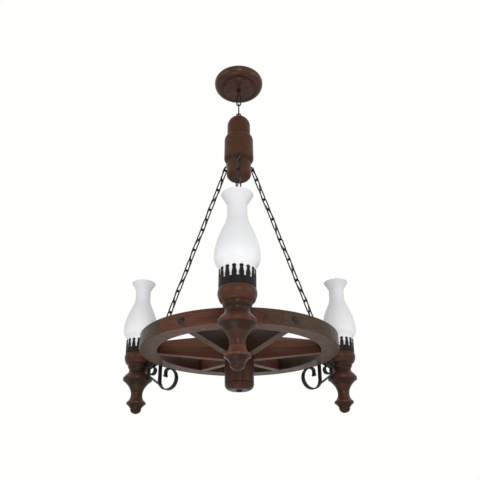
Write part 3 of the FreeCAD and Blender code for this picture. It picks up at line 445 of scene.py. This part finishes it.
# The side lamps' wood is a darker copy with weaker bands: painted shade, since they face the
# light less than the front lamp.
dress(lamp_wood("side_lamp_shaded_wood", 0.8, 0.7), "lamp_body_2", "lamp_body_3")
dress(wood("spindle_wood", UPRIGHT, SPINDLE_PALETTE, gloss=0.38, lathe=0.35, rings_tint=0.8),
      "spindle", "spindle_plug")
dress(wood("hub_wood", UPRIGHT, HUB_PALETTE, gloss=0.26, lathe=0.12), "hub")
dress(wood("canopy_wood", CANOPY_GRAIN, CANOPY_PALETTE, gloss=0.24, shine=0.2), "canopy")

# The wheel: a stain for each felloe and spoke, in the order of their numbers. The deep colour on
# spokes 5 and 6, beside the front, is painted shade.
RED = ((0.032, 0.0115, 0.0065), (0.086, 0.029, 0.0165), (0.135, 0.048, 0.028))
WARM = ((0.040, 0.0165, 0.009), (0.094, 0.037, 0.0195), (0.145, 0.058, 0.030))
OLIVE = ((0.026, 0.0155, 0.0075), (0.060, 0.0325, 0.0165), (0.096, 0.050, 0.026))
DEEP = ((0.018, 0.0105, 0.006), (0.034, 0.0185, 0.0105), (0.056, 0.029, 0.0155))
FELLOE_PALETTES = (DEEP, RED, OLIVE, RED, OLIVE, OLIVE)
# Spokes 5 and 6 lie at 240 and 300 degrees, either side of the front; their DEEP colour is
# painted shade on their shaded sides.
SPOKE_PALETTES = (WARM, WARM, WARM, WARM, DEEP, DEEP)
FELLOE_GLOSS, SPOKE_GLOSS = 0.38, 0.42
# Degrees. The first felloe starts at its angle, and the first spoke lies along X.
SECTOR = 60.0
FELLOE_START = 45.0


def wheel_wood(stem, number, palette, grain_angle, gloss):
    """A wheel part's own wood, with its grain along grain_angle in degrees."""
    piece = stem + "_" + str(number)
    name = stem + "_wood_" + str(number)
    grain = (0, 0, math.radians(-grain_angle))
    # Stronger pale edges on the wheel parts: wear, with painted highlight along the spokes'
    # edges.
    dress(wood(name, grain, palette, gloss, shine=0.1, wear_and_highlight=0.25, board=True), piece)


for index, (felloe_palette, spoke_palette) in enumerate(zip(FELLOE_PALETTES, SPOKE_PALETTES)):
    felloe_middle = FELLOE_START + SECTOR * (index + 0.5)
    wheel_wood("felloe", index + 1, felloe_palette, felloe_middle + 90, FELLOE_GLOSS)
    wheel_wood("spoke", index + 1, spoke_palette, SECTOR * index, SPOKE_GLOSS)

dress(iron("forged_iron", (0.0105, 0.0095, 0.0090), (0.06, 0.052, 0.046)),
      *numbered("bracket"), *numbered("brace"), "canopy_hook", "lamp_buttons", "hub_plug")
dress(iron("chain_iron", (0.021, 0.0155, 0.0125), (0.055, 0.044, 0.036), 0.38, 0.55, 0.1),
      *numbered("side_chain"), *numbered("top_link", 2), "spindle_eye", "chain_eyes")
dress(iron("gallery_iron", (0.0095, 0.0068, 0.0055), (0.045, 0.035, 0.028), 0.40, 0.55, 0.1),
      *numbered("gallery"))
dress(iron("bolt_iron", (0.022, 0.021, 0.023), (0.08, 0.08, 0.085), 0.26, 0.42),
      "rim_bolts", "bracket_screws", "lamp_screws")
dress(opal_glass(), *numbered("chimney"))
dress(bulb_glass(), *numbered("bulb"))
dress(plastic("black_bakelite", (0.012, 0.012, 0.012), (0.022, 0.021, 0.020), 0.25, 0.4),
      *numbered("lampholder"))
dress(plastic("cable_brown", (0.020, 0.014, 0.011), (0.034, 0.024, 0.018), grit_cells=500),
      *numbered("lamp_cable"))
dress(plastic("pale_nylon", (0.66, 0.66, 0.62), (0.74, 0.74, 0.70)),
      "terminal_block", "spindle_connector")
dress(zinc(), "ceiling_bracket", "hook_nuts", "eye_nut", "lamp_nipples")


# ---- surroundings -----------------------------------------------------------------------
AMBIENT_COLOUR = (0.96, 0.98, 1.0, 1)
AMBIENT_STRENGTH = 0.36
BACKDROP_COLOUR = (1.0, 1.0, 0.985, 1)
BACKDROP_STRENGTH = 1.0
FLOOR_Z = -2.3
FLOOR_REACH = 60
FLOOR_COLOUR = (0.86, 0.86, 0.85, 1)
FLOOR_ROUGHNESS = 0.7
FLOOR_GLOW = 0.42


def seen_directly(tree):
    """1 where the camera, a mirror or a glass looks, 0 for the light on the object."""
    path = tree.nodes.new("ShaderNodeLightPath")
    seen = path.outputs["Is Camera Ray"]
    for name in ("Is Glossy Ray", "Is Transmission Ray"):
        either = tree.nodes.new("ShaderNodeMath")
        either.operation = "MAXIMUM"
        tree.links.new(seen, either.inputs[0])
        tree.links.new(path.outputs[name], either.inputs[1])
        seen = either.outputs["Value"]
    return seen


world = bpy.data.worlds.new("studio")
bpy.context.scene.world = world
world.use_nodes = True
world_tree = world.node_tree
ambient = world_tree.nodes["Background"]
ambient.inputs["Color"].default_value = AMBIENT_COLOUR
ambient.inputs["Strength"].default_value = AMBIENT_STRENGTH
backdrop = world_tree.nodes.new("ShaderNodeBackground")
backdrop.inputs["Color"].default_value = BACKDROP_COLOUR
backdrop.inputs["Strength"].default_value = BACKDROP_STRENGTH
world_mix = world_tree.nodes.new("ShaderNodeMixShader")
world_tree.links.new(seen_directly(world_tree), world_mix.inputs[0])
world_tree.links.new(ambient.outputs[0], world_mix.inputs[1])
world_tree.links.new(backdrop.outputs[0], world_mix.inputs[2])
world_tree.links.new(world_mix.outputs[0], world_tree.nodes["World Output"].inputs["Surface"])

floor_mesh = bpy.data.meshes.new("floor")
floor_corners = [(side * FLOOR_REACH, end * FLOOR_REACH, FLOOR_Z)
                 for side, end in ((-1, -1), (1, -1), (1, 1), (-1, 1))]
floor_mesh.from_pydata(floor_corners, [], [(0, 1, 2, 3)])
floor = bpy.data.objects.new("floor", floor_mesh)
bpy.context.scene.collection.objects.link(floor)
floor_paint = bpy.data.materials.new("floor_paint")
floor_paint.use_nodes = True
floor_tree = floor_paint.node_tree
floor_shader = floor_tree.nodes["Principled BSDF"]
floor_shader.inputs["Base Color"].default_value = FLOOR_COLOUR
floor_shader.inputs["Roughness"].default_value = FLOOR_ROUGHNESS
floor_shader.inputs["Emission Color"].default_value = BACKDROP_COLOUR
floor_glow = floor_tree.nodes.new("ShaderNodeMath")
floor_glow.operation = "MULTIPLY"
floor_glow.inputs[1].default_value = FLOOR_GLOW
floor_tree.links.new(seen_directly(floor_tree), floor_glow.inputs[0])
floor_tree.links.new(floor_glow.outputs["Value"], floor_shader.inputs["Emission Strength"])
floor_mesh.materials.append(floor_paint)

# Disc lamps aimed at the wheel: name, place, diameter in metres and power in watts.
LAMPS = (
    ("front_softbox", Vector((0.3, -3.6, -0.45)), 1.0, 40),
    ("left_fill", Vector((-2.6, -1.6, -0.2)), 1.8, 17),
    ("right_fill", Vector((2.6, -1.2, -0.4)), 1.8, 20),
    ("low_fill", Vector((-0.3, -0.75, -2.15)), 0.8, 6),
)
MIDDLE_OF_WHEEL = Vector((0, 0, RIM_UNDERSIDE))
for lamp_name, place, diameter, power in LAMPS:
    light = bpy.data.lights.new(lamp_name, "AREA")
    light.shape = "DISK"
    light.size = diameter
    light.energy = power
    lamp = bpy.data.objects.new(lamp_name, light)
    lamp.location = place
    lamp.rotation_euler = (MIDDLE_OF_WHEEL - place).to_track_quat("-Z", "Y").to_euler()
    bpy.context.scene.collection.objects.link(lamp)

# The camera that was fitted to the photo.
CAMERA_PLACE = (0.01487, -1.41128, wheel_z(-0.38434))
CAMERA_HEADING = 0.239
CAMERA_TILT = 21.83
CAMERA_ROLL = -0.264
camera_data = bpy.data.cameras.new("camera")
camera_data.sensor_width = 36
camera_data.lens = 41.37
camera_data.shift_x = -0.0050
camera_data.shift_y = 0.10435
camera = bpy.data.objects.new("camera", camera_data)
camera.location = CAMERA_PLACE
heading = Matrix.Rotation(math.radians(CAMERA_HEADING), 4, "Z")
tilt = Matrix.Rotation(math.radians(90 + CAMERA_TILT), 4, "X")
roll = Matrix.Rotation(math.radians(CAMERA_ROLL), 4, "Z")
camera.rotation_euler = (heading @ tilt @ roll).to_euler()
bpy.context.scene.collection.objects.link(camera)
bpy.context.scene.camera = camera
bpy.context.scene.view_settings.view_transform = "Standard"

bpy.context.view_layer.update()
